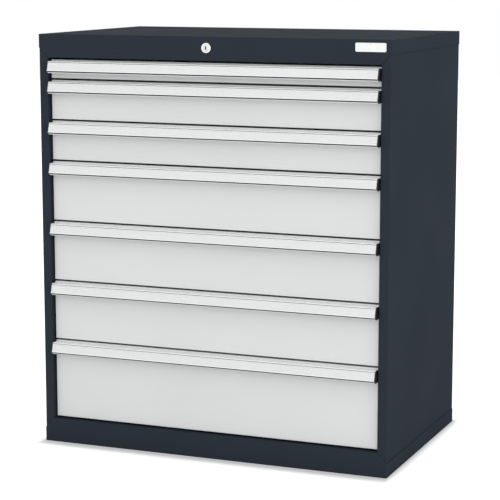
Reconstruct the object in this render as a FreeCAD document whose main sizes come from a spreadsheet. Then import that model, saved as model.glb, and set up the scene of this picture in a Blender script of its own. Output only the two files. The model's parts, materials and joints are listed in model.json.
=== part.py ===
import FreeCAD, Part
import os
import re

import Sketcher

# A steel cabinet with seven drawers on full-extension slides and a central lock.
# Millimetres. X to the right, front towards -Y, Z up from the floor, with the
# origin under the middle of the cabinet and its grips.

# Driving sizes
sizes = {
    # welded casing of folded sheet
    "casing_width": 902,
    "casing_depth": 568,
    "header_height": 57,
    "base_height": 59.5,
    "post_width": 24,
    "sheet": 1.5,
    "post_return": 30,
    "band_return": 25,
    "rear_flange": 30,
    "seam": 0.6,
    "overrun": 5,
    # rows of drawers, all a whole number of steps high
    "step_height": 25,
    "front_gap": 4.5,
    "opening_gap": 5,
    "front_side_gap": 3.5,
    # drawer front, a pan with flanges all round
    "front_recess": 12,
    "front_fold": 12,
    "front_sheet": 1.2,
    # tray
    "tray_sheet": 1,
    "tray_lift": 6,
    "tray_headroom": 8,
    "tray_hem": 8,
    "rear_space": 37,
    "slit_width": 3,
    "slit_pitch": 50,
    "slit_margin": 10,
    # catch behind the tray
    "catch_width": 44,
    "catch_reach": 12,
    "catch_height": 38,
    "catch_drop": 12,
    "catch_sheet": 1.5,
    # grip, an extrusion along the top of each front
    "grip_top_drop": 6,
    "grip_ledge": 20.4,
    "grip_reach": 27.2,
    "grip_face_drop": 22.8,
    "grip_lip_run": 6,
    "grip_lip_drop": 5.4,
    "grip_wall": 2,
    "grip_edge": 0.6,
    "grip_joint": 1.4,
    "label_rim": 1.6,
    "label_depth": 0.8,
    "end_cap": 3,
    "end_cap_overhang": 1.6,
    # telescopic slides
    "rail_sheet": 1.5,
    "rail_depth": 11,
    "rail_height": 36,
    "rail_lip": 4,
    "rail_play": 0.5,
    "rail_centre": 24,
    "rail_setback": 12,
    "rail_end_gap": 3,
    # slotted uprights and the tabs of the fixed rails
    "upright_setback": 2,
    "upright_width": 40,
    "upright_foot": 10,
    "upright_inset": 35,
    "slot_length": 12,
    "slot_height": 7,
    "tab_play": 0.5,
    "tab_reach": 3,
    # lock in the header, a little to the left of the middle
    "lock_drop": 26.5,
    "lock_offset": 5.5,
    "rosette_radius": 12.25,
    "rosette_proud": 2.5,
    "rosette_chamfer": 1,
    "barrel_radius": 9.5,
    "barrel_length": 28,
    "plug_radius": 7.5,
    "plug_proud": 3,
    "plug_chamfer": 0.5,
    "plug_tail": 3,
    "running_play": 0.05,
    "hole_play": 0.1,
    "key_slot_width": 3,
    "key_slot_height": 8.5,
    "key_slot_depth": 12,
    "nut_across": 24,
    "nut_thick": 5,
    "tail_side": 6,
    "tail_length": 12,
    # shaft, crank and bar of the central lock
    "sleeve_radius": 7,
    "sleeve_length": 16,
    "shaft_radius": 4,
    "crank_radius": 7,
    "crank_disc_radius": 12,
    "crank_thick": 4,
    "crank_gap": 1,
    "pin_radius": 2.5,
    "pin_play": 0.5,
    "pin_spare": 2,
    "bracket_sheet": 2,
    "bracket_width": 40,
    "bracket_flange": 18,
    "bracket_drop": 12,
    "bracket_inset": 110,
    "bar_width": 40,
    "bar_sheet": 2,
    "bar_gap": 3,
    "bar_end": 12,
    "finger_width": 30,
    "finger_gap": 1,
    "finger_sheet": 2,
    "finger_below": 3,
    "finger_height": 11,
    "guide_wall": 2.5,
    "guide_side": 8,
    "guide_play": 0.4,
    "guide_height": 20,
}

# Height of each row in steps, from the top drawer to the bottom one
row_steps = (2, 4, 4, 6, 6, 6, 8)
all_steps = sum(row_steps)

# The lock bar has a guide in the first row of each height, apart from the shallowest.
# It sits this far up the row.
guide_rows = sorted({row_steps.index(steps) + 1 for steps in row_steps if steps > min(row_steps)})
guide_share = 0.75

# Outer radius of a fold, as a share of its sheet
bend_share = 0.8

# Two coordinates count as the same within this share of the casing's sheet
near_share = 0.01

# Places and sizes that follow from the driving ones
derived = {
    "bend": f"{bend_share} * sheet",
    "front_bend": f"{bend_share} * front_sheet",
    "half_width": "casing_width / 2",
    "half_opening": "half_width - post_width",
    "side_x": "half_width - sheet",
    "grip_proud": "grip_reach - front_recess",
    "y_front": "(grip_proud - casing_depth) / 2",
    "y_back": "y_front + casing_depth",
    "opening_height": f"{all_steps} * step_height + 2 * opening_gap - front_gap",
    "casing_height": "base_height + opening_height + header_height",
    "first_line": "base_height + opening_gap - front_gap / 2",
    "y_panel": "y_front + front_recess",
    "front_half": "half_opening - front_side_gap",
    "y_tray": "y_panel + front_sheet",
    "tray_length": "casing_depth - front_recess - front_sheet - rear_space",
    "y_tray_end": "y_tray + tray_length",
    "upright_x": "half_opening + upright_setback",
    "slide_x": "upright_x - rail_depth - rail_play - rail_sheet",
    "tray_x": "2 * slide_x - upright_x",
    "rail_half": "rail_height / 2",
    "rail_mouth": "rail_half - rail_sheet - rail_lip",
    "y_rail": "y_panel + front_fold + rail_setback",
    "rail_length": "y_tray_end - rail_end_gap - y_rail",
    "y_upright_front": "y_rail + upright_inset",
    "y_upright_rear": "y_rail + rail_length - upright_inset",
    "lock_x": "-lock_offset",
    "lock_z": "casing_height - lock_drop",
    "shaft_start": "barrel_length + plug_tail",
    "y_bar": "y_tray_end + catch_reach + bar_gap",
    "crank_end": "y_bar - crank_gap - y_front",
    "crank_side": "crank_radius / sqrt(2)",
    "finger_top": "catch_height - catch_drop - finger_below",
    "y_finger": "y_tray_end + catch_reach - catch_sheet - finger_gap - finger_sheet",
    "grip_half": "front_half + end_cap_overhang - end_cap",
    "face_run": "grip_reach - grip_ledge",
    "face_length": "sqrt(face_run ^ 2 + grip_face_drop ^ 2)",
    "wall_run": "grip_wall * face_length / grip_face_drop",
    "grip_bottom": "grip_top_drop + grip_face_drop + grip_lip_drop",
}

document = FreeCAD.newDocument("DrawerCabinet")
table = document.addObject("Spreadsheet::Sheet", "Sizes")
for row, (name, size) in enumerate(sizes.items(), start=1):
    table.set(f"A{row}", name)
    table.set(f"B{row}", str(size))
    table.setAlias(f"B{row}", name)
document.recompute()


def formula(text):
    """The text as an expression on the table, with every derived name written out."""
    def spell_out(match):
        word = match.group(0)
        if word in derived:
            return f"({formula(derived[word])})"
        return f"Sizes.{word}"
    return re.sub(r"\b[a-z]\w*\b(?!\()", spell_out, text)


def number(text):
    """The value of the text in millimetres."""
    return float(table.evalExpression(formula(text)))


def row_line(row):
    """Height of the line under a row, counted from 1 at the top."""
    return f"(first_line + {sum(row_steps[row:])} * step_height)"


def row_height(row):
    """Height of a row from its line to the line above."""
    return f"({row_steps[row - 1]} * step_height)"


def mirrored(points):
    """The same outline on the other side of the sketch's upright axis."""
    return [(f"-({across})", up) for across, up in points]


def rectangle(left, right, low, high):
    """The four corners of a rectangle."""
    return [(left, low), (right, low), (right, high), (left, high)]


def new_body(name, x="0", y="0", z="0"):
    """An empty body at a place given by expressions."""
    body = document.addObject("PartDesign::Body", name)
    body.Label = name
    for axis, place in (("x", x), ("y", y), ("z", z)):
        body.setExpression(f"Placement.Base.{axis}", formula(place))
    return body


def new_sketch(body, plane, start):
    """A sketch on an origin plane of the body, moved along its axis to start."""
    sketch = body.newObject("Sketcher::SketchObject", f"{body.Name}_sketch")
    origin_plane = next(f for f in body.Origin.OriginFeatures if f.Role == f"{plane}_Plane")
    sketch.AttachmentSupport = (origin_plane, "")
    sketch.MapMode = "FlatFace"
    sign = "-" if plane == "XZ" else ""  # this plane faces -Y
    sketch.setExpression("AttachmentOffset.Base.z", formula(f"{sign}({start})"))
    return sketch


def draw_outline(sketch, points):
    """Close an outline through the points and fix each point to the table."""
    first = sketch.GeometryCount
    count = len(points)
    places = [FreeCAD.Vector(number(across), number(up), 0) for across, up in points]
    lines = [Part.LineSegment(places[i], places[(i + 1) % count]) for i in range(count)]
    sketch.addGeometry(lines)
    for i, (across, up) in enumerate(points):
        line = first + i
        following = first + (i + 1) % count
        sketch.addConstraint(Sketcher.Constraint("Coincident", line, 2, following, 1))
        for kind, text in (("DistanceX", across), ("DistanceY", up)):
            index = sketch.addConstraint(Sketcher.Constraint(kind, -1, 1, line, 1, number(text)))
            sketch.setExpression(f"Constraints[{index}]", formula(text))


def draw_circle(sketch, across, up, radius):
    """Draw a circle with its centre and radius fixed to the sheet."""
    centre = FreeCAD.Vector(number(across), number(up), 0)
    circle = sketch.addGeometry(Part.Circle(centre, FreeCAD.Vector(0, 0, 1), number(radius)))
    for kind, text in (("DistanceX", across), ("DistanceY", up)):
        index = sketch.addConstraint(Sketcher.Constraint(kind, -1, 1, circle, 3, number(text)))
        sketch.setExpression(f"Constraints[{index}]", formula(text))
    index = sketch.addConstraint(Sketcher.Constraint("Radius", circle, number(radius)))
    sketch.setExpression(f"Constraints[{index}]", formula(radius))


def draw(sketch, loops):
    """Draw each loop: a list of corners, or a circle as centre and radius."""
    for loop in loops:
        if isinstance(loop, tuple):
            draw_circle(sketch, *loop)
        else:
            draw_outline(sketch, loop)


def pad(body, plane, loops, start, length):
    """Extrude the loops towards the plane's positive axis."""
    sketch = new_sketch(body, plane, start)
    draw(sketch, loops)
    feature = body.newObject("PartDesign::Pad", f"{body.Name}_pad")
    feature.Profile = sketch
    feature.Reversed = plane == "XZ"
    feature.setExpression("Length", formula(length))
    return feature


def pocket(body, plane, loops, start, length):
    """Cut the loops out towards the plane's positive axis."""
    sketch = new_sketch(body, plane, start)
    draw(sketch, loops)
    feature = body.newObject("PartDesign::Pocket", f"{body.Name}_pocket")
    feature.Profile = sketch
    feature.Reversed = plane != "XZ"
    feature.setExpression("Length", formula(length))
    return feature


def turn(body, points):
    """Turn an outline of places along Y and radii about the body's Y axis."""
    sketch = new_sketch(body, "YZ", "0")
    draw(sketch, [points])
    feature = body.newObject("PartDesign::Revolution", f"{body.Name}_turn")
    feature.Profile = sketch
    feature.ReferenceAxis = (sketch, ["H_Axis"])
    return feature


def repeat(body, feature, axis, spacing, count):
    """Repeat a feature in a row along an origin axis of the body."""
    pattern = body.newObject("PartDesign::LinearPattern", f"{body.Name}_pattern")
    origin_axis = next(f for f in body.Origin.OriginFeatures if f.Role == f"{axis}_Axis")
    pattern.Originals = [feature]
    pattern.Direction = (origin_axis, [""])
    pattern.Mode = "Spacing"
    pattern.setExpression("Offset", formula(spacing))
    pattern.setExpression("Occurrences", formula(count))
    body.Tip = pattern
    return pattern


def round_edges(body, feature, radius, chosen):
    """Round the edges that the test picks by their two ends."""
    document.recompute([feature])
    names = []
    for index, edge in enumerate(feature.Shape.Edges, start=1):
        if chosen(edge.firstVertex().Point, edge.lastVertex().Point):
            names.append(f"Edge{index}")
    fillet = body.newObject("PartDesign::Fillet", f"{body.Name}_fillet")
    fillet.Base = (feature, names)
    fillet.setExpression("Radius", formula(radius))
    return fillet


def mirror_image(body):
    """The same piece on the other side of the cabinet."""
    image = document.addObject("Part::Mirroring", f"{body.Name}_image")
    image.Source = body
    image.Normal = FreeCAD.Vector(1, 0, 0)
    return image


def group(name, members):
    """Several separate solids that are one sub-part."""
    compound = document.addObject("Part::Compound", name)
    compound.Label = name
    compound.Links = members
    return compound


def near(value, text):
    """Whether a coordinate lies at the place that the text gives."""
    return abs(value - number(text)) < near_share * number("sheet")


# Casing
def casing_cap(name, band, plate_z, up):
    """A pan that closes one end: plate, mitred front band, side and rear rims.

    Heights are counted from the plate's outer face into the casing; up is the sign
    that turns them into heights above the floor.
    """
    def z(depth):
        return f"({plate_z} {up} ({depth}))"

    rim = f"({band} - post_width)"
    body = new_body(name)
    fold = [
        ("y_front + band_return", z(band)),
        ("y_front", z(band)),
        ("y_front", z("0")),
        ("y_back", z("0")),
        ("y_back", z(rim)),
        ("y_back - sheet", z(rim)),
        ("y_back - sheet", z("sheet")),
        ("y_front + sheet", z("sheet")),
        ("y_front + sheet", z(f"{band} - sheet")),
        ("y_front + band_return", z(f"{band} - sheet")),
    ]
    pad(body, "YZ", [fold], "-half_width", "casing_width")
    side_rim = rectangle("half_width - sheet", "half_width", z("0"), z(rim))
    rims = pad(body, "XZ", [side_rim, mirrored(side_rim)], "y_front", "casing_depth")

    def outside(start, end):
        on_plate = near(start.z, z("0")) and near(end.z, z("0"))
        upright_edge = near(start.x - end.x, "0") and near(start.y - end.y, "0")
        on_corner = near(abs(start.x), "half_width") and (
            near(start.y, "y_front") or near(start.y, "y_back"))
        return on_plate or (upright_edge and on_corner)

    round_edges(body, rims, "bend", outside)
    mitre = [
        ("half_opening", z(band)),
        ("half_width", z(rim)),
        ("half_width + overrun", z(rim)),
        ("half_width + overrun", z(f"{band} + overrun")),
        ("half_opening", z(f"{band} + overrun")),
    ]
    mitre_length = "band_return + 2 * overrun"
    pocket(body, "XZ", [mitre, mirrored(mitre)], "y_front - overrun", mitre_length)
    return body


def top_cap():
    """The top with its header band, bored for the lock."""
    body = casing_cap("top_cap", "header_height", "casing_height", "-")
    bore = ("lock_x", "lock_z", "barrel_radius + hole_play")
    pocket(body, "XZ", [bore], "y_front - overrun", "sheet + 2 * overrun")
    return body


def side_panel(name, side):
    """Side sheet folded into the front post and a rear flange, mitred at both ends."""
    flip = mirrored if side == "left" else list
    fold = [
        ("half_opening", "y_front + post_return"),
        ("half_opening", "y_front"),
        ("side_x", "y_front"),
        ("side_x", "y_back - sheet"),
        ("side_x - rear_flange", "y_back - sheet"),
        ("side_x - rear_flange", "y_back - 2 * sheet"),
        ("side_x - sheet", "y_back - 2 * sheet"),
        ("side_x - sheet", "y_front + sheet"),
        ("half_opening + sheet", "y_front + sheet"),
        ("half_opening + sheet", "y_front + post_return"),
    ]
    body = new_body(name)
    folded = pad(body, "XY", [flip(fold)], "sheet", "casing_height - 2 * sheet")

    def post_edge(start, end):
        at_front = near(start.y, "y_front") and near(end.y, "y_front")
        return at_front and near(start.x - end.x, "0")

    round_edges(body, folded, "bend", post_edge)

    def above_mitre(reach):
        """The area past the upper mitre, out to the given place across."""
        rise = f"({reach} - half_opening)"
        return [
            ("half_opening - overrun", "casing_height - header_height - overrun - seam"),
            (reach, f"casing_height - header_height + {rise} - seam"),
            (reach, "casing_height"),
            ("half_opening - overrun", "casing_height"),
        ]

    def below_mitre(reach):
        """The area past the lower mitre, out to the given place across."""
        rise = f"({reach} - half_opening)"
        return [
            ("half_opening - overrun", "base_height + overrun + seam"),
            (reach, f"base_height - {rise} + seam"),
            (reach, "0"),
            ("half_opening - overrun", "0"),
        ]

    wide = "(half_width + overrun)"
    face_cuts = [flip(above_mitre(wide)), flip(below_mitre(wide))]
    pocket(body, "XZ", face_cuts, "y_front - overrun", "overrun + sheet + seam")
    narrow = "(side_x - sheet)"
    post_cuts = [flip(above_mitre(narrow)), flip(below_mitre(narrow))]
    pocket(body, "XZ", post_cuts, "y_front - overrun", "post_return + 2 * overrun")
    return body


def back_panel():
    """A sheet over the rear flanges, flush with the rims of the caps."""
    low = "base_height - post_width + seam"
    high = "casing_height - header_height + post_width - seam"
    body = new_body("back_panel")
    pad(body, "XZ", [rectangle("-side_x", "side_x", low, high)], "y_back - sheet", "sheet")
    return body


def upright(name, y_centre):
    """A slotted hat section on the right-hand side sheet."""
    half = "upright_width / 2"
    front = f"({y_centre} - {half})"
    rear = f"({y_centre} + {half})"
    wall = "(side_x - sheet)"
    hat = [
        (wall, f"{front} - upright_foot"),
        (wall, f"{front} + sheet"),
        ("upright_x + sheet", f"{front} + sheet"),
        ("upright_x + sheet", f"{rear} - sheet"),
        (wall, f"{rear} - sheet"),
        (wall, f"{rear} + upright_foot"),
        (f"{wall} - sheet", f"{rear} + upright_foot"),
        (f"{wall} - sheet", rear),
        ("upright_x", rear),
        ("upright_x", front),
        (f"{wall} - sheet", front),
        (f"{wall} - sheet", f"{front} - upright_foot"),
    ]
    body = new_body(name)
    pad(body, "XY", [hat], "sheet", "casing_height - 2 * sheet")
    centre_z = "(first_line + rail_centre)"
    slot = rectangle(
        f"{y_centre} - slot_length / 2",
        f"{y_centre} + slot_length / 2",
        f"{centre_z} - slot_height / 2",
        f"{centre_z} + slot_height / 2",
    )
    slots = pocket(body, "YZ", [slot], "upright_x - overrun", "overrun + 2 * sheet")
    repeat(body, slots, "Z", "step_height", str(all_steps - 1))
    return body


def uprights():
    """Two slotted uprights on each side."""
    right = [upright("upright_front", "y_upright_front"), upright("upright_rear", "y_upright_rear")]
    return group("uprights", right + [mirror_image(body) for body in right])


# Slides
def channel(web_x, mouth_x):
    """A lipped C section between its web's back and its open side, about height zero."""
    inwards = f"({mouth_x} - {web_x}) / rail_depth * rail_sheet"
    lip_x = f"({mouth_x} - {inwards})"
    web_in = f"({web_x} + {inwards})"
    return [
        (web_x, "-rail_half"),
        (web_x, "rail_half"),
        (mouth_x, "rail_half"),
        (mouth_x, "rail_mouth"),
        (lip_x, "rail_mouth"),
        (lip_x, "rail_half - rail_sheet"),
        (web_in, "rail_half - rail_sheet"),
        (web_in, "rail_sheet - rail_half"),
        (lip_x, "rail_sheet - rail_half"),
        (lip_x, "-rail_mouth"),
        (mouth_x, "-rail_mouth"),
        (mouth_x, "-rail_half"),
    ]


def fixed_rail(row):
    """The right-hand fixed rail of a row, with two tabs in the slots of the uprights."""
    body = new_body(f"fixed_rail_{row}", z=f"{row_line(row)} + rail_centre")
    section = channel("upright_x", "(upright_x - rail_depth)")
    pad(body, "XZ", [section], "y_rail", "rail_length")
    tabs = []
    for y_centre in ("y_upright_front", "y_upright_rear"):
        tabs.append(rectangle(
            f"{y_centre} - slot_length / 2 + tab_play",
            f"{y_centre} + slot_length / 2 - tab_play",
            "tab_play - slot_height / 2",
            "slot_height / 2 - tab_play",
        ))
    pad(body, "YZ", tabs, "upright_x", "tab_reach")
    return body


def fixed_rails():
    """All the rails that stay in the casing."""
    right = [fixed_rail(row) for row in range(1, len(row_steps) + 1)]
    return group("fixed_rails", right + [mirror_image(body) for body in right])


def mid_rails(row):
    """The two middle members of a row, each two channels back to back with hooked flanges."""
    near_x = "(rail_sheet + rail_play + rail_sheet + rail_play)"
    far_x = f"({near_x} + rail_sheet)"
    flange = "(rail_mouth - rail_play)"
    hook = "(rail_half - rail_sheet - rail_play)"
    quarter = [
        ("rail_sheet", f"{flange} - rail_sheet"),
        (far_x, f"{flange} - rail_sheet"),
        (far_x, hook),
        (near_x, hook),
        (near_x, flange),
    ]
    upper = quarter + mirrored(quarter)[::-1]
    lower = [(across, f"-({up})") for across, up in upper][::-1]
    body = new_body(f"mid_rail_{row}", x="slide_x", z=f"{row_line(row)} + rail_centre")
    pad(body, "XZ", [upper + lower], "y_rail", "rail_length")
    return group(f"drawer_{row}_mid_rails", [body, mirror_image(body)])


def drawer_rails(row):
    """The two rails on the side walls of a row's tray."""
    body = new_body(f"drawer_rail_{row}", z=f"{row_line(row)} + rail_centre")
    section = channel("tray_x", "(tray_x + rail_depth)")
    pad(body, "XZ", [section], "y_rail", "rail_length")
    return group(f"drawer_{row}_rails", [body, mirror_image(body)])


# Drawers, each modelled above its row's line
def drawer_front(row):
    """A pan, open at the back: the face and the four flanges behind its edges."""
    low = "(front_gap / 2)"
    high = f"({row_height(row)} - front_gap / 2)"
    place = row_line(row)
    face = new_body(f"front_face_{row}", z=place)
    outside = rectangle("-front_half", "front_half", low, high)
    sheet = pad(face, "XZ", [outside], "y_panel", "front_sheet")

    def face_edge(start, end):
        return near(start.y, "y_panel") and near(end.y, "y_panel")

    round_edges(face, sheet, "front_bend", face_edge)
    low_inside = f"({low} + front_sheet)"
    high_inside = f"({high} - front_sheet)"

    def flange(name, strip):
        body = new_body(f"front_{name}_{row}", z=place)
        pad(body, "XZ", [strip], "y_tray", "front_fold - front_sheet")
        return body

    upper = flange("upper", rectangle("-front_half", "front_half", high_inside, high))
    lower = flange("lower", rectangle("-front_half", "front_half", low, low_inside))
    strip = rectangle("front_half - front_sheet", "front_half", low_inside, high_inside)
    side = flange("side", strip)
    return group(f"drawer_{row}_front", [face, upper, lower, side, mirror_image(side)])


def drawer_tray(row):
    """A welded tray: floor, hemmed and slit side walls, end walls and a catch for the lock."""
    seat = "(tray_lift + tray_sheet)"
    top = f"({row_height(row)} - tray_headroom)"
    place = row_line(row)
    floor = new_body(f"tray_floor_{row}", z=place)
    plate = rectangle("-tray_x", "tray_x", "tray_lift", seat)
    pad(floor, "XZ", [plate], "y_tray", "tray_length")
    side = new_body(f"tray_side_{row}", z=place)
    hemmed = [
        ("tray_x", seat),
        ("tray_x", top),
        ("tray_x - tray_hem", top),
        ("tray_x - tray_hem", f"{top} - tray_sheet"),
        ("tray_x - tray_sheet", f"{top} - tray_sheet"),
        ("tray_x - tray_sheet", seat),
    ]
    pad(side, "XZ", [hemmed], "y_tray", "tray_length")
    slit = rectangle(
        "y_tray + slit_pitch",
        "y_tray + slit_pitch + slit_width",
        f"{seat} + slit_margin",
        f"{top} - slit_margin",
    )
    slits = pocket(side, "YZ", [slit], "tray_x - tray_sheet - overrun", "tray_sheet + 2 * overrun")
    repeat(side, slits, "Y", "slit_pitch", "floor(tray_length / slit_pitch) - 1")
    inside = "(tray_x - tray_sheet)"
    wall = rectangle(f"-{inside}", inside, seat, f"{top} - tray_sheet")
    front = new_body(f"tray_front_{row}", z=place)
    pad(front, "XZ", [wall], "y_tray", "tray_sheet")
    rear = new_body(f"tray_rear_{row}", z=place)
    pad(rear, "XZ", [wall], "y_tray_end - tray_sheet", "tray_sheet")
    catch = [
        ("y_tray_end", "catch_height"),
        ("y_tray_end + catch_reach", "catch_height"),
        ("y_tray_end + catch_reach", "catch_height - catch_drop"),
        ("y_tray_end + catch_reach - catch_sheet", "catch_height - catch_drop"),
        ("y_tray_end + catch_reach - catch_sheet", "catch_height - catch_sheet"),
        ("y_tray_end", "catch_height - catch_sheet"),
    ]
    pad(rear, "YZ", [catch], "-catch_width / 2", "catch_width")
    return group(f"drawer_{row}_tray", [floor, side, mirror_image(side), front, rear])


def grip_outline():
    """Corners of the grip's outer side, forward of the panel and down from the row's top."""
    return [
        ("0", "grip_top_drop + grip_joint"),
        ("grip_joint", "grip_top_drop"),
        ("grip_ledge", "grip_top_drop"),
        ("grip_reach", "grip_top_drop + grip_face_drop"),
        ("grip_reach - grip_lip_run", "grip_bottom"),
    ]


def on_panel(points):
    """Forward and down turned into the sketch's Y and Z."""
    return [(f"y_panel - ({forward})", f"-({down})") for forward, down in points]


def drawer_grip(row):
    """The extrusion: ledge, leaning face with a label channel, lip and rear flange."""
    joint_foot, joint_top, ledge_corner, face_corner, lip_end = grip_outline()

    def on_face(along, inward):
        """A place on the leaning face, along it from the ledge and in from its surface."""
        forward = f"grip_ledge + (({along}) * face_run - ({inward}) * grip_face_drop) / face_length"
        down = f"grip_top_drop + (({along}) * grip_face_drop + ({inward}) * face_run) / face_length"
        return forward, down

    section = [
        joint_foot,
        joint_top,
        ledge_corner,
        on_face("label_rim", "0"),
        on_face("label_rim", "label_depth"),
        on_face("face_length - label_rim", "label_depth"),
        on_face("face_length - label_rim", "0"),
        face_corner,
        lip_end,
        ("grip_reach - grip_lip_run - wall_run", "grip_bottom"),
        ("grip_reach - wall_run", "grip_top_drop + grip_face_drop"),
        (
            "grip_ledge - grip_wall * (face_length - face_run) / grip_face_drop",
            "grip_top_drop + grip_wall",
        ),
        ("grip_wall", "grip_top_drop + grip_wall"),
        ("grip_wall", "grip_bottom"),
        ("0", "grip_bottom"),
    ]
    body = new_body(f"drawer_{row}_grip", z=f"{row_line(row)} + {row_height(row)}")
    bar = pad(body, "YZ", [on_panel(section)], "-grip_half", "2 * grip_half")

    def long_edge(start, end):
        at_ledge = near(start.y, "y_panel - grip_ledge")
        at_reach = near(start.y, "y_panel - grip_reach")
        return (at_ledge or at_reach) and near(start.y - end.y, "0")

    round_edges(body, bar, "grip_edge", long_edge)
    return body


def end_caps(row):
    """Two plates that close the ends of the grip."""
    section = grip_outline() + [("0", "grip_bottom")]
    body = new_body(f"end_cap_{row}", z=f"{row_line(row)} + {row_height(row)}")
    pad(body, "YZ", [on_panel(section)], "grip_half", "end_cap")
    return group(f"drawer_{row}_end_caps", [body, mirror_image(body)])


# Lock, each piece modelled about the lock's axis at the casing's front
def lock_housing():
    """Rosette and barrel, bored for the cylinder."""
    bore = "plug_radius + running_play"
    body = new_body("lock_housing", x="lock_x", y="y_front", z="lock_z")
    turn(body, [
        ("-rosette_proud", bore),
        ("-rosette_proud", "rosette_radius - rosette_chamfer"),
        ("rosette_chamfer - rosette_proud", "rosette_radius"),
        ("0", "rosette_radius"),
        ("0", "barrel_radius"),
        ("barrel_length", "barrel_radius"),
        ("barrel_length", bore),
    ])
    return body


def lock_nut():
    """The hexagon nut behind the header."""
    corner = "nut_across / sqrt(3)"
    half = "nut_across / 2"
    right = [(f"{corner} / 2", f"-{half}"), (corner, "0"), (f"{corner} / 2", half)]
    body = new_body("lock_nut", x="lock_x", y="y_front", z="lock_z")
    hexagon = right + mirrored(right)[::-1]
    pad(body, "XZ", [hexagon, ("0", "0", "barrel_radius + hole_play")], "sheet", "nut_thick")
    return body


def lock_cylinder():
    """The turning plug with an upright key slot and a square tail."""
    body = new_body("lock_cylinder", x="lock_x", y="y_front", z="lock_z")
    turn(body, [
        ("-plug_proud", "0"),
        ("-plug_proud", "plug_radius - plug_chamfer"),
        ("plug_chamfer - plug_proud", "plug_radius"),
        ("shaft_start", "plug_radius"),
        ("shaft_start", "0"),
    ])
    side = "tail_side / 2"
    square = rectangle(f"-{side}", side, f"-{side}", side)
    pad(body, "XZ", [square], "shaft_start", "tail_length")
    slot = rectangle(
        "-key_slot_width / 2",
        "key_slot_width / 2",
        "-key_slot_height / 2",
        "key_slot_height / 2",
    )
    pocket(body, "XZ", [slot], "-plug_proud - overrun", "overrun + key_slot_depth")
    return body


def lock_shaft():
    """The rod to the back, with a sleeve on the plug's tail and a crank with its pin."""
    disc_start = "crank_end - crank_thick"
    body = new_body("lock_shaft", x="lock_x", y="y_front", z="lock_z")
    turn(body, [
        ("shaft_start", "0"),
        ("shaft_start", "sleeve_radius"),
        ("shaft_start + sleeve_length", "sleeve_radius"),
        ("shaft_start + sleeve_length", "shaft_radius"),
        (disc_start, "shaft_radius"),
        (disc_start, "crank_disc_radius"),
        ("crank_end", "crank_disc_radius"),
        ("crank_end", "0"),
    ])
    pin = ("crank_side", "-crank_side", "pin_radius")
    pad(body, "XZ", [pin], "crank_end", "crank_gap + bar_sheet + pin_spare")
    side = "(tail_side / 2 + running_play)"
    square = rectangle(f"-{side}", side, f"-{side}", side)
    socket_length = "overrun + tail_length + running_play"
    pocket(body, "XZ", [square], "shaft_start - overrun", socket_length)
    return body


def shaft_brackets():
    """Two angle brackets under the top that carry the shaft."""
    members = []
    places = ("y_front + bracket_inset", "y_back - bracket_inset")
    for name, y_place in zip(("shaft_bracket_front", "shaft_bracket_rear"), places):
        top = "(lock_drop - sheet)"
        angle = [
            ("0", "-bracket_drop"),
            ("bracket_sheet", "-bracket_drop"),
            ("bracket_sheet", f"{top} - bracket_sheet"),
            ("bracket_flange", f"{top} - bracket_sheet"),
            ("bracket_flange", top),
            ("0", top),
        ]
        body = new_body(name, x="lock_x", y=y_place, z="lock_z")
        pad(body, "YZ", [angle], "-bracket_width / 2", "bracket_width")
        hole = ("0", "0", "shaft_radius + running_play")
        pocket(body, "XZ", [hole], "-overrun", "bracket_sheet + 2 * overrun")
        members.append(body)
    return group("shaft_brackets", members)


def lock_bar():
    """The upright bar behind the trays, with a slot for the crank pin and a finger per row."""
    half = "bar_width / 2"
    last_row = len(row_steps)
    low = f"{row_line(last_row)} + finger_top - finger_height - bar_end"
    high = "lock_z + bar_end"
    body = new_body("lock_bar")
    strip = rectangle(f"-{half}", half, low, high)
    pad(body, "XZ", [strip], "y_bar", "bar_sheet")
    for row in range(1, last_row + 1):
        top = f"({row_line(row)} + finger_top)"
        finger = [
            ("y_bar", f"{top} - finger_height"),
            ("y_bar", f"{top} - finger_height + finger_sheet"),
            ("y_finger + finger_sheet", f"{top} - finger_height + finger_sheet"),
            ("y_finger + finger_sheet", top),
            ("y_finger", top),
            ("y_finger", f"{top} - finger_height"),
        ]
        pad(body, "YZ", [finger], "-finger_width / 2", "finger_width")
    reach = "(pin_radius + pin_play)"
    slot = rectangle(
        f"lock_x + crank_side - {reach}",
        f"lock_x + crank_radius + {reach}",
        f"lock_z - crank_side - {reach}",
        f"lock_z - crank_side + {reach}",
    )
    pocket(body, "XZ", [slot], "y_bar - overrun", "bar_sheet + 2 * overrun")
    return body


def lock_bar_guides():
    """Moulded blocks on the back panel in which the bar slides."""
    members = []
    for row in guide_rows:
        outer = rectangle(
            "-bar_width / 2 - guide_side",
            "bar_width / 2 + guide_side",
            "y_bar - guide_play - guide_wall",
            "y_back - sheet",
        )
        inner = rectangle(
            "-bar_width / 2 - guide_play",
            "bar_width / 2 + guide_play",
            "y_bar - guide_play",
            "y_bar + bar_sheet + guide_play",
        )
        centre_z = f"({row_line(row)} + {guide_share} * {row_height(row)})"
        body = new_body(f"guide_{row}", z=f"{centre_z} - guide_height / 2")
        pad(body, "XY", [outer, inner], "0", "guide_height")
        members.append(body)
    return group("lock_bar_guides", members)


subparts = [
    top_cap(),
    casing_cap("base_cap", "base_height", "0", "+"),
    side_panel("left_side_panel", "left"),
    side_panel("right_side_panel", "right"),
    back_panel(),
    uprights(),
    fixed_rails(),
    lock_housing(),
    lock_nut(),
    lock_cylinder(),
    lock_shaft(),
    shaft_brackets(),
    lock_bar(),
    lock_bar_guides(),
]
for row in range(1, len(row_steps) + 1):
    subparts += [
        drawer_front(row),
        drawer_tray(row),
        drawer_grip(row),
        end_caps(row),
        mid_rails(row),
        drawer_rails(row),
    ]
document.recompute()

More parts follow.
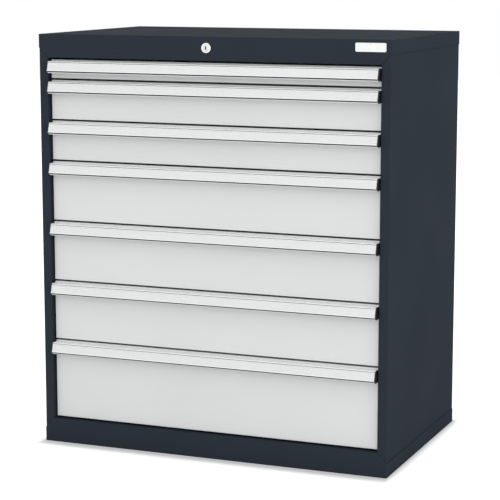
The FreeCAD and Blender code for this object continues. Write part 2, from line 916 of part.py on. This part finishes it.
# Checks before anything is written
for item in document.Objects:
    if "Invalid" in item.State or "Error" in item.State:
        raise RuntimeError(f"{item.Label} failed: {item.State}")
    if item.TypeId == "PartDesign::Pocket":
        if item.Shape.Volume >= item.BaseFeature.Shape.Volume:
            raise RuntimeError(f"{item.Label} cuts nothing")
for piece in subparts:
    if piece.Shape.isNull() or not piece.Shape.isValid():
        raise RuntimeError(f"{piece.Label} has no valid shape")

os.makedirs("parts", exist_ok=True)
for piece in subparts:
    piece.Shape.exportStep(f"parts/{piece.Label}.step")
print(f"{len(subparts)} sub-parts, casing {number('casing_height'):g} high")
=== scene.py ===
import json
import math

import bmesh
import bpy
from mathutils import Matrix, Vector

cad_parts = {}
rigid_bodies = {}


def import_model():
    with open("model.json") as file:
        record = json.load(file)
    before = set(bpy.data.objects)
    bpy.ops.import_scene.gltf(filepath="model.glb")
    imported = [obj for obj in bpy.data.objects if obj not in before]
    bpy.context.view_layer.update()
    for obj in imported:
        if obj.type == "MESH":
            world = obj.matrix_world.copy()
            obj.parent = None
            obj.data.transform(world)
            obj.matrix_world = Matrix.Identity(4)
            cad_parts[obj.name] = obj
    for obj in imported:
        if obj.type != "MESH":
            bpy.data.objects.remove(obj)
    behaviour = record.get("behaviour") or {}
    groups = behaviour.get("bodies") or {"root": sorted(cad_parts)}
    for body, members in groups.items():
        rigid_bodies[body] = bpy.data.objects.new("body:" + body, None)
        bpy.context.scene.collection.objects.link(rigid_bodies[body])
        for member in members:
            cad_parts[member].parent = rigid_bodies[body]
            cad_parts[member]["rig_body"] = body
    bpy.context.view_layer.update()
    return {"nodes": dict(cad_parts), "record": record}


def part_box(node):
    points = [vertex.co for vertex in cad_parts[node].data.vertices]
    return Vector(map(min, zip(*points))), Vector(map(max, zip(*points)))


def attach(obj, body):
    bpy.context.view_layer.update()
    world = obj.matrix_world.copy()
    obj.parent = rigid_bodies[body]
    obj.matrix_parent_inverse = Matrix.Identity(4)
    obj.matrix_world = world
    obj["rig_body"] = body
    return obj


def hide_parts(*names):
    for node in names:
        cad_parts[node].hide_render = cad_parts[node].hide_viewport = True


# Looks of a steel drawer cabinet, in metres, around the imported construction
bpy.ops.object.select_all(action="SELECT")
bpy.ops.object.delete()
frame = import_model()
millimetre = 0.001
drawerCount = sum(name.endswith("_tray") for name in frame["nodes"])
print("frame loaded,", drawerCount, "drawers")


# camera at the photograph's angle
cameraSet = {
    "place": (1.6561, -4.0948, 1.1931),
    "down": 9.252,  # degrees below the horizon
    "left": 22.097,  # degrees towards -X
    "lens": 126.97,
    "sensor": 36.0,
    "reach": 100.0,
}


def makeCamera(values):
    bpy.ops.object.camera_add(location=values["place"])
    camera = bpy.context.object
    camera.name = "camera"
    camera.rotation_euler = (math.radians(90 - values["down"]), 0, math.radians(values["left"]))
    camera.data.lens = values["lens"]
    camera.data.sensor_width = values["sensor"]
    camera.data.clip_end = values["reach"]
    bpy.context.scene.camera = camera


makeCamera(cameraSet)
print("camera set")


# helpers for modelling
def selectOnly(piece):
    bpy.ops.object.select_all(action="DESELECT")
    piece.select_set(True)
    bpy.context.view_layer.objects.active = piece


def edit(piece, mode):
    selectOnly(piece)
    bpy.ops.object.mode_set(mode="EDIT")
    bpy.ops.mesh.select_mode(type=mode)
    bpy.ops.mesh.select_all(action="DESELECT")


def stopEdit():
    bpy.ops.object.mode_set(mode="OBJECT")


def pickFaces(piece, test):
    shape = bmesh.from_edit_mesh(piece.data)
    for face in shape.faces:
        face.select_set(test(face))
    bmesh.update_edit_mesh(piece.data)


def pickEdges(piece, test):
    shape = bmesh.from_edit_mesh(piece.data)
    for side in shape.edges:
        side.select_set(test(side))
    bmesh.update_edit_mesh(piece.data)


def addBlock(name, centre, size):
    bpy.ops.object.select_all(action="DESELECT")
    bpy.ops.mesh.primitive_cube_add(size=1, location=centre)
    block = bpy.context.object
    block.name = name
    block.scale = size
    bpy.ops.object.transform_apply(location=True, rotation=True, scale=True)
    return block


def smooth(piece, angle):
    # smooth over rounded edges, while each large face keeps its own flat shading
    selectOnly(piece)
    bpy.ops.object.shade_smooth_by_angle(angle=math.radians(angle))
    flatten = piece.modifiers.new("flatFaces", "WEIGHTED_NORMAL")
    flatten.keep_sharp = True
    bpy.ops.object.modifier_apply(modifier=flatten.name)


def dress(piece, material, body):
    piece.data.materials.clear()
    piece.data.materials.append(material)
    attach(piece, body)


def repeat(piece, ending, material):
    # the first drawer's piece, and a copy with its own mesh at the grip of each other drawer
    grips = {drawer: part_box(f"drawer_{drawer}_grip") for drawer in range(1, drawerCount + 1)}
    for drawer in range(2, drawerCount + 1):
        twin = piece.copy()
        twin.data = piece.data.copy()
        twin.name = f"drawer_{drawer}_{ending}"
        bpy.context.scene.collection.objects.link(twin)
        selectOnly(twin)
        twin.location.z = grips[drawer][1].z - grips[1][1].z
        bpy.ops.object.transform_apply(location=True, rotation=True, scale=True)
        dress(twin, material, f"drawer_{drawer}")
    dress(piece, material, "drawer_1")


# shared effects, each a node group with named inputs and outputs
effectSet = {
    "grainDetail": 2.0,
    "mottleDetail": 4.0,
    "mottleSpread": (0.3, 0.7),  # the noise values between which the tone changes
}


def newGroup(name, inputs, outputs):
    group = bpy.data.node_groups.new(name, "ShaderNodeTree")
    for label, kind, value in inputs:
        socket = group.interface.new_socket(name=label, in_out="INPUT", socket_type=kind)
        socket.default_value = value
    for label, kind in outputs:
        group.interface.new_socket(name=label, in_out="OUTPUT", socket_type=kind)
    return group, group.nodes.new("NodeGroupInput"), group.nodes.new("NodeGroupOutput")


def addNode(tree, kind, **values):
    node = tree.nodes.new(kind)
    for name, value in values.items():
        setattr(node, name, value)
    return node


def addNoise(group, start, detail):
    # noise on Object coordinates, with the size of its grains in millimetres
    place = addNode(group, "ShaderNodeTexCoord")
    rate = addNode(group, "ShaderNodeMath", operation="DIVIDE")
    rate.inputs[0].default_value = 1 / millimetre
    stretched = addNode(group, "ShaderNodeVectorMath", operation="MULTIPLY")
    noise = addNode(group, "ShaderNodeTexNoise")
    noise.inputs["Detail"].default_value = detail
    group.links.new(start.outputs["Size"], rate.inputs[1])
    group.links.new(place.outputs["Object"], stretched.inputs[0])
    group.links.new(start.outputs["Stretch"], stretched.inputs[1])
    group.links.new(stretched.outputs["Vector"], noise.inputs["Vector"])
    group.links.new(rate.outputs["Value"], noise.inputs["Scale"])
    return noise


def makeGrain():
    # fine bumps of a coat, a moulding or a rolled sheet
    inputs = [
        ("Size", "NodeSocketFloat", 0.8),  # millimetres
        ("Stretch", "NodeSocketVector", (1.0, 1.0, 1.0)),
        ("Depth", "NodeSocketFloat", 0.02),  # millimetres
    ]
    group, start, end = newGroup("coatGrain", inputs, [("Normal", "NodeSocketVector")])
    noise = addNoise(group, start, effectSet["grainDetail"])
    height = addNode(group, "ShaderNodeMath", operation="MULTIPLY")
    height.inputs[1].default_value = millimetre
    bump = addNode(group, "ShaderNodeBump")
    group.links.new(start.outputs["Depth"], height.inputs[0])
    group.links.new(height.outputs["Value"], bump.inputs["Distance"])
    group.links.new(noise.outputs["Fac"], bump.inputs["Height"])
    group.links.new(bump.outputs["Normal"], end.inputs["Normal"])
    return group


def makeMottle():
    # slow change of tone and gloss over a surface, from handling and uneven coating
    inputs = [
        ("Colour", "NodeSocketColor", (0.5, 0.5, 0.5, 1.0)),
        ("Second colour", "NodeSocketColor", (0.45, 0.45, 0.45, 1.0)),
        ("Size", "NodeSocketFloat", 120.0),  # millimetres
        ("Stretch", "NodeSocketVector", (1.0, 1.0, 1.0)),
        ("Least gloss", "NodeSocketFloat", 0.45),
        ("Most gloss", "NodeSocketFloat", 0.35),
    ]
    outputs = [("Colour", "NodeSocketColor"), ("Roughness", "NodeSocketFloat")]
    group, start, end = newGroup("toneMottle", inputs, outputs)
    noise = addNoise(group, start, effectSet["mottleDetail"])
    spread = addNode(group, "ShaderNodeMapRange")
    spread.inputs["From Min"].default_value = effectSet["mottleSpread"][0]
    spread.inputs["From Max"].default_value = effectSet["mottleSpread"][1]
    tone = addNode(group, "ShaderNodeMix", data_type="RGBA")
    gloss = addNode(group, "ShaderNodeMapRange")
    group.links.new(noise.outputs["Fac"], spread.inputs["Value"])
    group.links.new(spread.outputs["Result"], tone.inputs["Factor"])
    group.links.new(start.outputs["Colour"], tone.inputs["A"])
    group.links.new(start.outputs["Second colour"], tone.inputs["B"])
    group.links.new(spread.outputs["Result"], gloss.inputs["Value"])
    group.links.new(start.outputs["Least gloss"], gloss.inputs["To Min"])
    group.links.new(start.outputs["Most gloss"], gloss.inputs["To Max"])
    group.links.new(tone.outputs["Result"], end.inputs["Colour"])
    group.links.new(gloss.outputs["Result"], end.inputs["Roughness"])
    return group


coatGrain = makeGrain()
toneMottle = makeMottle()


def addGroup(tree, group, values):
    node = addNode(tree, "ShaderNodeGroup", node_tree=group)
    for name, value in values.items():
        node.inputs[name].default_value = value
    return node


def makeFinish(name, values):
    # a coat or metal: slow mottle for tone and gloss, fine grain for the normal
    material = bpy.data.materials.new(name)
    material.use_nodes = True
    tree = material.node_tree
    shader = tree.nodes["Principled BSDF"]
    for socket, value in values["shader"].items():
        shader.inputs[socket].default_value = value
    mottle = addGroup(tree, toneMottle, values["mottle"])
    grain = addGroup(tree, coatGrain, values["grain"])
    tree.links.new(mottle.outputs["Colour"], shader.inputs["Base Color"])
    tree.links.new(mottle.outputs["Roughness"], shader.inputs["Roughness"])
    tree.links.new(grain.outputs["Normal"], shader.inputs["Normal"])
    return material


# dark powder coat of the casing, with a fine even texture
casingCoat = {
    "shader": {"Metallic": 0.0, "Specular IOR Level": 0.012},
    "mottle": {
        "Colour": (0.0220, 0.0286, 0.0384, 1),
        "Second colour": (0.0238, 0.0304, 0.0402, 1),
        "Size": 240,
        "Least gloss": 0.8,
        "Most gloss": 0.72,
    },
    "grain": {"Size": 0.9, "Depth": 0.03},
}
# smooth light grey coat of the drawer fronts
drawerCoat = {
    "shader": {"Metallic": 0.0, "Specular IOR Level": 0.4},
    "mottle": {
        "Colour": (0.603, 0.613, 0.613, 1),
        "Second colour": (0.623, 0.633, 0.633, 1),
        "Size": 300,
        "Least gloss": 0.42,
        "Most gloss": 0.36,
    },
    "grain": {"Size": 1.6, "Depth": 0.02},
}
# coated extrusion of the grips, with faint drawing lines along its length
gripCoat = {
    "shader": {"Metallic": 0.0, "Specular IOR Level": 0.35},
    "mottle": {
        "Colour": (0.755, 0.77, 0.77, 1),
        "Second colour": (0.77, 0.785, 0.785, 1),
        "Size": 300,
        "Least gloss": 0.46,
        "Most gloss": 0.42,
    },
    "grain": {"Size": 0.5, "Stretch": (0.02, 1.0, 1.0), "Depth": 0.0008},
}
# moulded black plastic with a spark-eroded grain
blackPlastic = {
    "shader": {"Metallic": 0.0, "Specular IOR Level": 0.35},
    "mottle": {
        "Colour": (0.006, 0.006, 0.0065, 1),
        "Second colour": (0.008, 0.008, 0.0085, 1),
        "Size": 30,
        "Least gloss": 0.6,
        "Most gloss": 0.52,
    },
    "grain": {"Size": 0.35, "Depth": 0.03},
}
# zinc-plated sheet of trays, slides and the lock's linkage
zincPlate = {
    "shader": {"Metallic": 1.0},
    "mottle": {
        "Colour": (0.60, 0.61, 0.62, 1),
        "Second colour": (0.52, 0.53, 0.545, 1),
        "Size": 45,
        "Least gloss": 0.5,
        "Most gloss": 0.36,
    },
    "grain": {"Size": 0.6, "Stretch": (1.0, 0.05, 1.0), "Depth": 0.01},
}
# bright nickel plate of the lock
nickelPlate = {
    "shader": {"Metallic": 1.0},
    "mottle": {
        "Colour": (0.80, 0.80, 0.79, 1),
        "Second colour": (0.74, 0.74, 0.73, 1),
        "Size": 12,
        "Least gloss": 0.26,
        "Most gloss": 0.18,
    },
    "grain": {"Size": 0.3, "Depth": 0.004},
}
# uncoated card of the label strips
labelCard = {
    "shader": {"Metallic": 0.0, "Specular IOR Level": 0.2},
    "mottle": {
        "Colour": (0.655, 0.663, 0.660, 1),
        "Second colour": (0.645, 0.653, 0.650, 1),
        "Size": 8,
        "Least gloss": 0.85,
        "Most gloss": 0.75,
    },
    "grain": {"Size": 0.25, "Depth": 0.0008},
}
# white enamel of the bare plate
plateEnamel = {
    "shader": {"Metallic": 0.0, "Specular IOR Level": 0.5},
    "mottle": {
        "Colour": (0.76, 0.765, 0.77, 1),
        "Second colour": (0.74, 0.745, 0.75, 1),
        "Size": 25,
        "Least gloss": 0.3,
        "Most gloss": 0.24,
    },
    "grain": {"Size": 1.2, "Depth": 0.006},
}
# painted shade of the lock's key slot: dull black on the faces inside it
lockShadow = {
    "shader": {"Metallic": 0.0, "Specular IOR Level": 0.1},
    "mottle": {
        "Colour": (0.004, 0.004, 0.004, 1),
        "Second colour": (0.006, 0.006, 0.006, 1),
        "Size": 6,
        "Least gloss": 0.9,
        "Most gloss": 0.8,
    },
    "grain": {"Size": 0.4, "Depth": 0.02},
}
# clear cover over the label strips
clearCover = {
    "shader": {"Metallic": 0.0, "Alpha": 0.06, "Specular IOR Level": 0.3},
    "mottle": {
        "Colour": (0.80, 0.81, 0.81, 1),
        "Second colour": (0.82, 0.83, 0.83, 1),
        "Size": 200,
        "Least gloss": 0.34,
        "Most gloss": 0.3,
    },
    "grain": {"Size": 12.0, "Depth": 0.001},
}

finishes = {
    "casing_paint": makeFinish("casingCoat", casingCoat),
    "drawer_paint": makeFinish("drawerCoat", drawerCoat),
    "grip_paint": makeFinish("gripCoat", gripCoat),
    "black_plastic": makeFinish("blackPlastic", blackPlastic),
    "zinc_steel": makeFinish("zincPlate", zincPlate),
    "lock_chrome": makeFinish("nickelPlate", nickelPlate),
}
card = makeFinish("labelCard", labelCard)
enamel = makeFinish("plateEnamel", plateEnamel)
shadow = makeFinish("lockShadow", lockShadow)
cover = makeFinish("clearCover", clearCover)
nodeSlots = {row["node"]: row["material_slot"] for row in frame["record"]["subparts"]}
for name, node in frame["nodes"].items():
    node.data.materials.clear()
    node.data.materials.append(finishes[nodeSlots[name]])
print("finishes made and put on", len(frame["nodes"]), "nodes")


# sheet metal and extrusions with softened edges, each a copy of its CAD piece
softEdge = {
    "weld": 0.00002,
    "flat": 0.5,  # degrees under which faces count as one
    "fold": 30.0,  # degrees from which an edge is rounded
    "steps": 2,
    "smooth": 50.0,
}


noCutters = bpy.data.collections.new("noCutters")  # empty, so a piece is joined with itself


def joinSheets(piece):
    # the flat sheets of a folded pan become one shell, with no faces left inside
    union = piece.modifiers.new("joinedSheets", "BOOLEAN")
    union.operation = "UNION"
    union.solver = "EXACT"
    union.operand_type = "COLLECTION"
    union.collection = noCutters
    union.use_self = True
    bpy.ops.object.modifier_apply(modifier=union.name)


def soften(nodeName, radius):
    node = frame["nodes"][nodeName]
    piece = bpy.data.objects.new(f"{nodeName}_finished", node.data.copy())
    bpy.context.scene.collection.objects.link(piece)
    selectOnly(piece)
    if piece.data.has_custom_normals:
        bpy.ops.mesh.customdata_custom_splitnormals_clear()
    edit(piece, "VERT")
    bpy.ops.mesh.select_all(action="SELECT")
    bpy.ops.mesh.remove_doubles(threshold=softEdge["weld"])
    stopEdit()
    joinSheets(piece)
    edit(piece, "VERT")
    bpy.ops.mesh.select_all(action="SELECT")
    bpy.ops.mesh.dissolve_limited(angle_limit=math.radians(softEdge["flat"]))
    stopEdit()
    bevel = piece.modifiers.new("softEdge", "BEVEL")
    bevel.width = radius
    bevel.segments = softEdge["steps"]
    bevel.limit_method = "ANGLE"
    bevel.angle_limit = math.radians(softEdge["fold"])
    bpy.ops.object.modifier_apply(modifier=bevel.name)
    smooth(piece, softEdge["smooth"])
    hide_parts(nodeName)
    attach(piece, node["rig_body"])
    return piece


casingRadius = 0.3 * millimetre
drawerRadius = {
    "front": 0.25 * millimetre,
    "grip": 0.25 * millimetre,
    "end_caps": 0.4 * millimetre,
    "tray": 0.2 * millimetre,
}
for name in ("top_cap", "base_cap", "left_side_panel", "right_side_panel", "back_panel"):
    soften(name, casingRadius)
for drawer in range(1, drawerCount + 1):
    for part, radius in drawerRadius.items():
        soften(f"drawer_{drawer}_{part}", radius)
print("sheet metal, trays and grips softened")


# lock: softened rosette and plug, with painted shade inside the key slot
lockSet = {
    "rosetteEdge": 0.35 * millimetre,
    "plugEdge": 0.2 * millimetre,
    "slotWidth": 3.0 * millimetre,
    "slotHeight": 8.5 * millimetre,
    "slotDepth": 12.0 * millimetre,
    "brightLip": 0.5 * millimetre,  # how deep the plate reaches into the slot
    "play": 0.3 * millimetre,
}


def makeLock(values):
    soften("lock_housing", values["rosetteEdge"])
    plug = soften("lock_cylinder", values["plugEdge"])
    plug.data.materials.append(shadow)
    low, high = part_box("lock_cylinder")
    centre = (low + high) / 2

    def inSlot(face):
        place = face.calc_center_median()
        across = abs(place.x - centre.x) < values["slotWidth"] / 2 + values["play"]
        upright = abs(place.z - centre.z) < values["slotHeight"] / 2 + values["play"]
        deep = values["brightLip"] < place.y - low.y < values["slotDepth"] + values["play"]
        return across and upright and deep

    # the slot's inner faces get the painted shade
    edit(plug, "FACE")
    pickFaces(plug, inSlot)
    plug.active_material_index = 1
    bpy.ops.object.material_slot_assign()
    stopEdit()


makeLock(lockSet)
print("lock finished")


# label strip under a clear cover, in the channel of each grip
labelSet = {
    "faceRun": 6.8 * millimetre,  # how far the grip's face leans out over its height
    "faceDrop": 22.8 * millimetre,
    "rim": 1.6 * millimetre,
    "channel": 0.8 * millimetre,
    "playAbove": 1.3 * millimetre,
    "playBelow": 0.2 * millimetre,
    "endPlay": 1.0 * millimetre,
    "cardThickness": 0.2 * millimetre,
    "cardEdge": 0.02 * millimetre,
    "coverThickness": 0.4 * millimetre,
    "coverEdge": 0.15 * millimetre,
    "air": 0.05 * millimetre,  # between the card and its cover
}
labelSet["lean"] = math.atan2(labelSet["faceRun"], labelSet["faceDrop"])


def softenFront(piece, radius):
    # rounds the edges of a long strip's front face
    edit(piece, "EDGE")
    pickEdges(piece, lambda side: all(corner.co.y < 0 for corner in side.verts))
    bpy.ops.mesh.bevel(offset=radius, segments=softEdge["steps"], affect="EDGES")
    stopEdit()


def layIn(piece, tilt, place):
    selectOnly(piece)
    piece.rotation_euler = (tilt, 0, 0)
    piece.location = place
    bpy.ops.object.transform_apply(location=True, rotation=True, scale=True)
    smooth(piece, softEdge["smooth"])


def makeStrip(name, thickness, depth, edgeRadius):
    # depth is how far the strip's middle lies behind the face
    low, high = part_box("drawer_1_grip")
    lean = labelSet["lean"]
    faceLength = math.hypot(labelSet["faceRun"], labelSet["faceDrop"])
    width = faceLength - 2 * labelSet["rim"] - labelSet["playAbove"] - labelSet["playBelow"]
    sag = (labelSet["playAbove"] - labelSet["playBelow"]) / 2  # the strip rests on the lower rim
    length = high.x - low.x - 2 * labelSet["endPlay"]
    middle = Vector((
        (low.x + high.x) / 2,
        low.y + labelSet["faceRun"] / 2 - sag * math.sin(lean) + depth * math.cos(lean),
        high.z - labelSet["faceDrop"] / 2 - sag * math.cos(lean) - depth * math.sin(lean),
    ))
    strip = addBlock(name, (0, 0, 0), (length, thickness, width))
    softenFront(strip, edgeRadius)
    layIn(strip, -lean, middle)
    return strip


def makeLabels(values):
    cardDepth = values["channel"] - values["cardThickness"] / 2
    between = values["air"] + (values["cardThickness"] + values["coverThickness"]) / 2
    strip = makeStrip(
        "drawer_1_label_strip", values["cardThickness"], cardDepth, values["cardEdge"])
    repeat(strip, "label_strip", card)
    window = makeStrip(
        "drawer_1_label_cover", values["coverThickness"], cardDepth - between, values["coverEdge"])
    repeat(window, "label_cover", cover)


makeLabels(labelSet)
print("label strips laid in")


# painted shade of each grip: black strips laid where the shade lines fall, under the face and along
# the top of the label channel
shadeStripSet = {
    "edge": 0.12 * millimetre,
    "endPlay": 0.5 * millimetre,
    "lipRun": 6.0 * millimetre,  # the lip under the face runs back by this much
    "lipDrop": 5.4 * millimetre,
    "lipWidth": 4.4 * millimetre,
    "lipProud": 0.4 * millimetre,
    "fromFace": 2.4 * millimetre,  # down the lip to the middle of the painted shade strip
    "channelWidth": 0.95 * millimetre,
    "channelThickness": 0.6 * millimetre,
}


# a black strip that stands in for shade, copied to every drawer
def makeShadeStrip(ending, size, tilt, place):
    shadeStrip = addBlock(f"drawer_1_{ending}", (0, 0, 0), size)
    softenFront(shadeStrip, shadeStripSet["edge"])
    layIn(shadeStrip, tilt, place)
    repeat(shadeStrip, ending, finishes["black_plastic"])


def makeShadeStrips(values):
    low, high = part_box("drawer_1_grip")
    length = high.x - low.x - 2 * values["endPlay"]
    across = (low.x + high.x) / 2
    slope = math.atan2(values["lipRun"], values["lipDrop"])
    onLip = Vector((
        across,
        low.y + values["fromFace"] * math.sin(slope),
        high.z - labelSet["faceDrop"] - values["fromFace"] * math.cos(slope),
    ))
    # black strip that paints the shade under the grip's face
    makeShadeStrip("lip_shade_strip", (length, 2 * values["lipProud"], values["lipWidth"]), slope, onLip)
    lean = labelSet["lean"]
    down = labelSet["rim"] + values["channelWidth"] / 2
    deep = labelSet["channel"] - values["channelThickness"] / 2
    inChannel = Vector((
        across,
        low.y + labelSet["faceRun"] - down * math.sin(lean) + deep * math.cos(lean),
        high.z - down * math.cos(lean) - deep * math.sin(lean),
    ))
    size = (length, values["channelThickness"], values["channelWidth"])
    # black strip that paints the shade line along the top of the label channel
    makeShadeStrip("channel_shade_strip", size, -lean, inChannel)


makeShadeStrips(shadeStripSet)
print("sealing beads laid in")


# bare plate at the right of the header
plateSet = {
    "fromRight": 13.2 * millimetre,
    "width": 73.6 * millimetre,
    "fromTop": 7.6 * millimetre,
    "height": 20.5 * millimetre,
    "thickness": 1.0 * millimetre,
    "corner": 3.0 * millimetre,
    "cornerSteps": 6,
    "rim": 0.9 * millimetre,
    "sunk": 0.25 * millimetre,
    "edge": 0.3 * millimetre,
    "facing": -0.9,  # a normal's y, below which a face counts as the front
    "flatFacing": -0.999,  # the same for the front without its rounded edge
}


def makePlate(values):
    low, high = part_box("top_cap")
    centre = Vector((
        high.x - values["fromRight"] - values["width"] / 2,
        low.y - values["thickness"] / 2,
        high.z - values["fromTop"] - values["height"] / 2,
    ))
    plate = addBlock("bare_plate", centre, (values["width"], values["thickness"], values["height"]))

    def isCorner(side):
        return abs((side.verts[0].co - side.verts[1].co).y) > values["thickness"] / 2

    edit(plate, "EDGE")
    pickEdges(plate, isCorner)
    bpy.ops.mesh.bevel(offset=values["corner"], segments=values["cornerSteps"], affect="EDGES")
    bpy.ops.mesh.select_mode(type="FACE")
    pickFaces(plate, lambda face: face.normal.y < values["facing"])
    bpy.ops.mesh.bevel(offset=values["edge"], segments=softEdge["steps"], affect="EDGES")
    pickFaces(plate, lambda face: face.normal.y < values["flatFacing"])
    bpy.ops.mesh.inset(thickness=values["rim"])
    bpy.ops.mesh.inset(thickness=values["sunk"], depth=-values["sunk"])
    stopEdit()
    smooth(plate, softEdge["smooth"])
    dress(plate, enamel, "casing")


makePlate(plateSet)
print("bare plate fitted")


# plain studio: pale floor with a painted contact shadow at the casing's foot, soft lamps, white
# behind for camera, gloss and glass
studioSet = {
    "floorRadius": 14.0,
    "floorCorners": 96,
    "floorColour": (0.72, 0.72, 0.72, 1),
    "floorGlow": 0.5,
    "worldColour": (1.0, 1.0, 1.0, 1),
    "worldLight": 1.17,
    "shadeReach": (20 * millimetre, 36 * millimetre, 1.0),
    "shadeColour": (0.5, 0.5, 0.51, 1),
}


def backgroundMask(tree):
    # 1 for rays of the camera, of gloss and of glass
    path = addNode(tree, "ShaderNodeLightPath")
    first = addNode(tree, "ShaderNodeMath", operation="MAXIMUM")
    second = addNode(tree, "ShaderNodeMath", operation="MAXIMUM")
    tree.links.new(path.outputs["Is Camera Ray"], first.inputs[0])
    tree.links.new(path.outputs["Is Glossy Ray"], first.inputs[1])
    tree.links.new(first.outputs["Value"], second.inputs[0])
    tree.links.new(path.outputs["Is Transmission Ray"], second.inputs[1])
    return second.outputs["Value"]


def makeContactShade():
    # painted contact shadow: the floor's tone darkens against the casing's foot, and fades with the
    # distance from it
    inputs = [
        ("Half size", "NodeSocketVector", (0.4, 0.3, 0.0)),
        ("Reach", "NodeSocketVector", (0.03, 0.08, 1.0)),
        ("Shade", "NodeSocketColor", (0.4, 0.4, 0.4, 1.0)),
    ]
    group, start, end = newGroup("contactShade", inputs, [("Colour", "NodeSocketColor")])
    place = addNode(group, "ShaderNodeTexCoord")
    away = addNode(group, "ShaderNodeVectorMath", operation="ABSOLUTE")
    beyond = addNode(group, "ShaderNodeVectorMath", operation="SUBTRACT")
    outside = addNode(group, "ShaderNodeVectorMath", operation="MAXIMUM")
    share = addNode(group, "ShaderNodeVectorMath", operation="DIVIDE")
    distance = addNode(group, "ShaderNodeVectorMath", operation="LENGTH")
    fade = addNode(group, "ShaderNodeMapRange")
    tone = addNode(group, "ShaderNodeMix", data_type="RGBA")
    tone.inputs["B"].default_value = (1, 1, 1, 1)
    group.links.new(place.outputs["Object"], away.inputs[0])
    group.links.new(away.outputs["Vector"], beyond.inputs[0])
    group.links.new(start.outputs["Half size"], beyond.inputs[1])
    group.links.new(beyond.outputs["Vector"], outside.inputs[0])
    group.links.new(outside.outputs["Vector"], share.inputs[0])
    group.links.new(start.outputs["Reach"], share.inputs[1])
    group.links.new(share.outputs["Vector"], distance.inputs[0])
    group.links.new(distance.outputs["Value"], fade.inputs["Value"])
    group.links.new(fade.outputs["Result"], tone.inputs["Factor"])
    group.links.new(start.outputs["Shade"], tone.inputs["A"])
    group.links.new(tone.outputs["Result"], end.inputs["Colour"])
    return group


def makeWorld(values):
    world = bpy.data.worlds.new("studio")
    world.use_nodes = True
    tree = world.node_tree
    tree.nodes.clear()
    lightPart = addNode(tree, "ShaderNodeBackground")
    lightPart.inputs["Color"].default_value = values["worldColour"]
    lightPart.inputs["Strength"].default_value = values["worldLight"]
    shownPart = addNode(tree, "ShaderNodeBackground")
    shownPart.inputs["Color"].default_value = (1, 1, 1, 1)
    choice = addNode(tree, "ShaderNodeMixShader")
    out = addNode(tree, "ShaderNodeOutputWorld")
    tree.links.new(backgroundMask(tree), choice.inputs["Fac"])
    tree.links.new(lightPart.outputs["Background"], choice.inputs[1])
    tree.links.new(shownPart.outputs["Background"], choice.inputs[2])
    tree.links.new(choice.outputs["Shader"], out.inputs["Surface"])
    bpy.context.scene.world = world


def makeFloor(values):
    bpy.ops.object.select_all(action="DESELECT")
    bpy.ops.mesh.primitive_circle_add(
        vertices=values["floorCorners"], radius=values["floorRadius"], fill_type="NGON",
        location=(0, 0, 0))
    floor = bpy.context.object
    floor.name = "studio_floor"
    material = bpy.data.materials.new("studioFloor")
    material.use_nodes = True
    tree = material.node_tree
    tree.nodes.clear()
    low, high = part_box("base_cap")
    # painted shadow on the floor around the casing's foot, in both the floor's colour and its glow
    shade = addGroup(tree, makeContactShade(), {
        "Half size": (high.x, max(-low.y, high.y), 0.0),
        "Reach": values["shadeReach"],
        "Shade": values["shadeColour"],
    })
    colour = addNode(tree, "ShaderNodeMix", data_type="RGBA", blend_type="MULTIPLY")
    colour.inputs["Factor"].default_value = 1.0
    colour.inputs["B"].default_value = values["floorColour"]
    diffuse = addNode(tree, "ShaderNodeBsdfDiffuse")
    glow = addNode(tree, "ShaderNodeEmission")
    strength = addNode(tree, "ShaderNodeMath", operation="MULTIPLY")
    strength.inputs[1].default_value = values["floorGlow"]
    total = addNode(tree, "ShaderNodeAddShader")
    out = addNode(tree, "ShaderNodeOutputMaterial")
    tree.links.new(shade.outputs["Colour"], colour.inputs["A"])
    tree.links.new(colour.outputs["Result"], diffuse.inputs["Color"])
    tree.links.new(shade.outputs["Colour"], glow.inputs["Color"])
    tree.links.new(backgroundMask(tree), strength.inputs[0])
    tree.links.new(strength.outputs["Value"], glow.inputs["Strength"])
    tree.links.new(diffuse.outputs["BSDF"], total.inputs[0])
    tree.links.new(glow.outputs["Emission"], total.inputs[1])
    tree.links.new(total.outputs["Shader"], out.inputs["Surface"])
    floor.data.materials.append(material)


def addLamp(name, place, target, size, power):
    bpy.ops.object.light_add(type="AREA", location=place)
    lamp = bpy.context.object
    lamp.name = name
    lamp.data.shape = "DISK"
    lamp.data.size = size
    lamp.data.energy = power
    aim = Vector(target) - Vector(place)
    lamp.rotation_euler = aim.to_track_quat("-Z", "Y").to_euler()


lampSet = {
    "overhead": {"place": (0.6, -1.6, 4.2), "target": (0, 0, 0.5), "size": 3.2, "power": 12},
    "front": {"place": (0.8, -4.4, 1.2), "target": (0, 0, 0.4), "size": 3.0, "power": 24},
    "right": {"place": (4.2, -1.2, 1.8), "target": (0.3, 0, 0.5), "size": 2.6, "power": 26},
}
makeWorld(studioSet)
makeFloor(studioSet)
for name, values in lampSet.items():
    addLamp(name, values["place"], values["target"], values["size"], values["power"])
bpy.context.scene.view_settings.view_transform = "Standard"
print("studio lit")
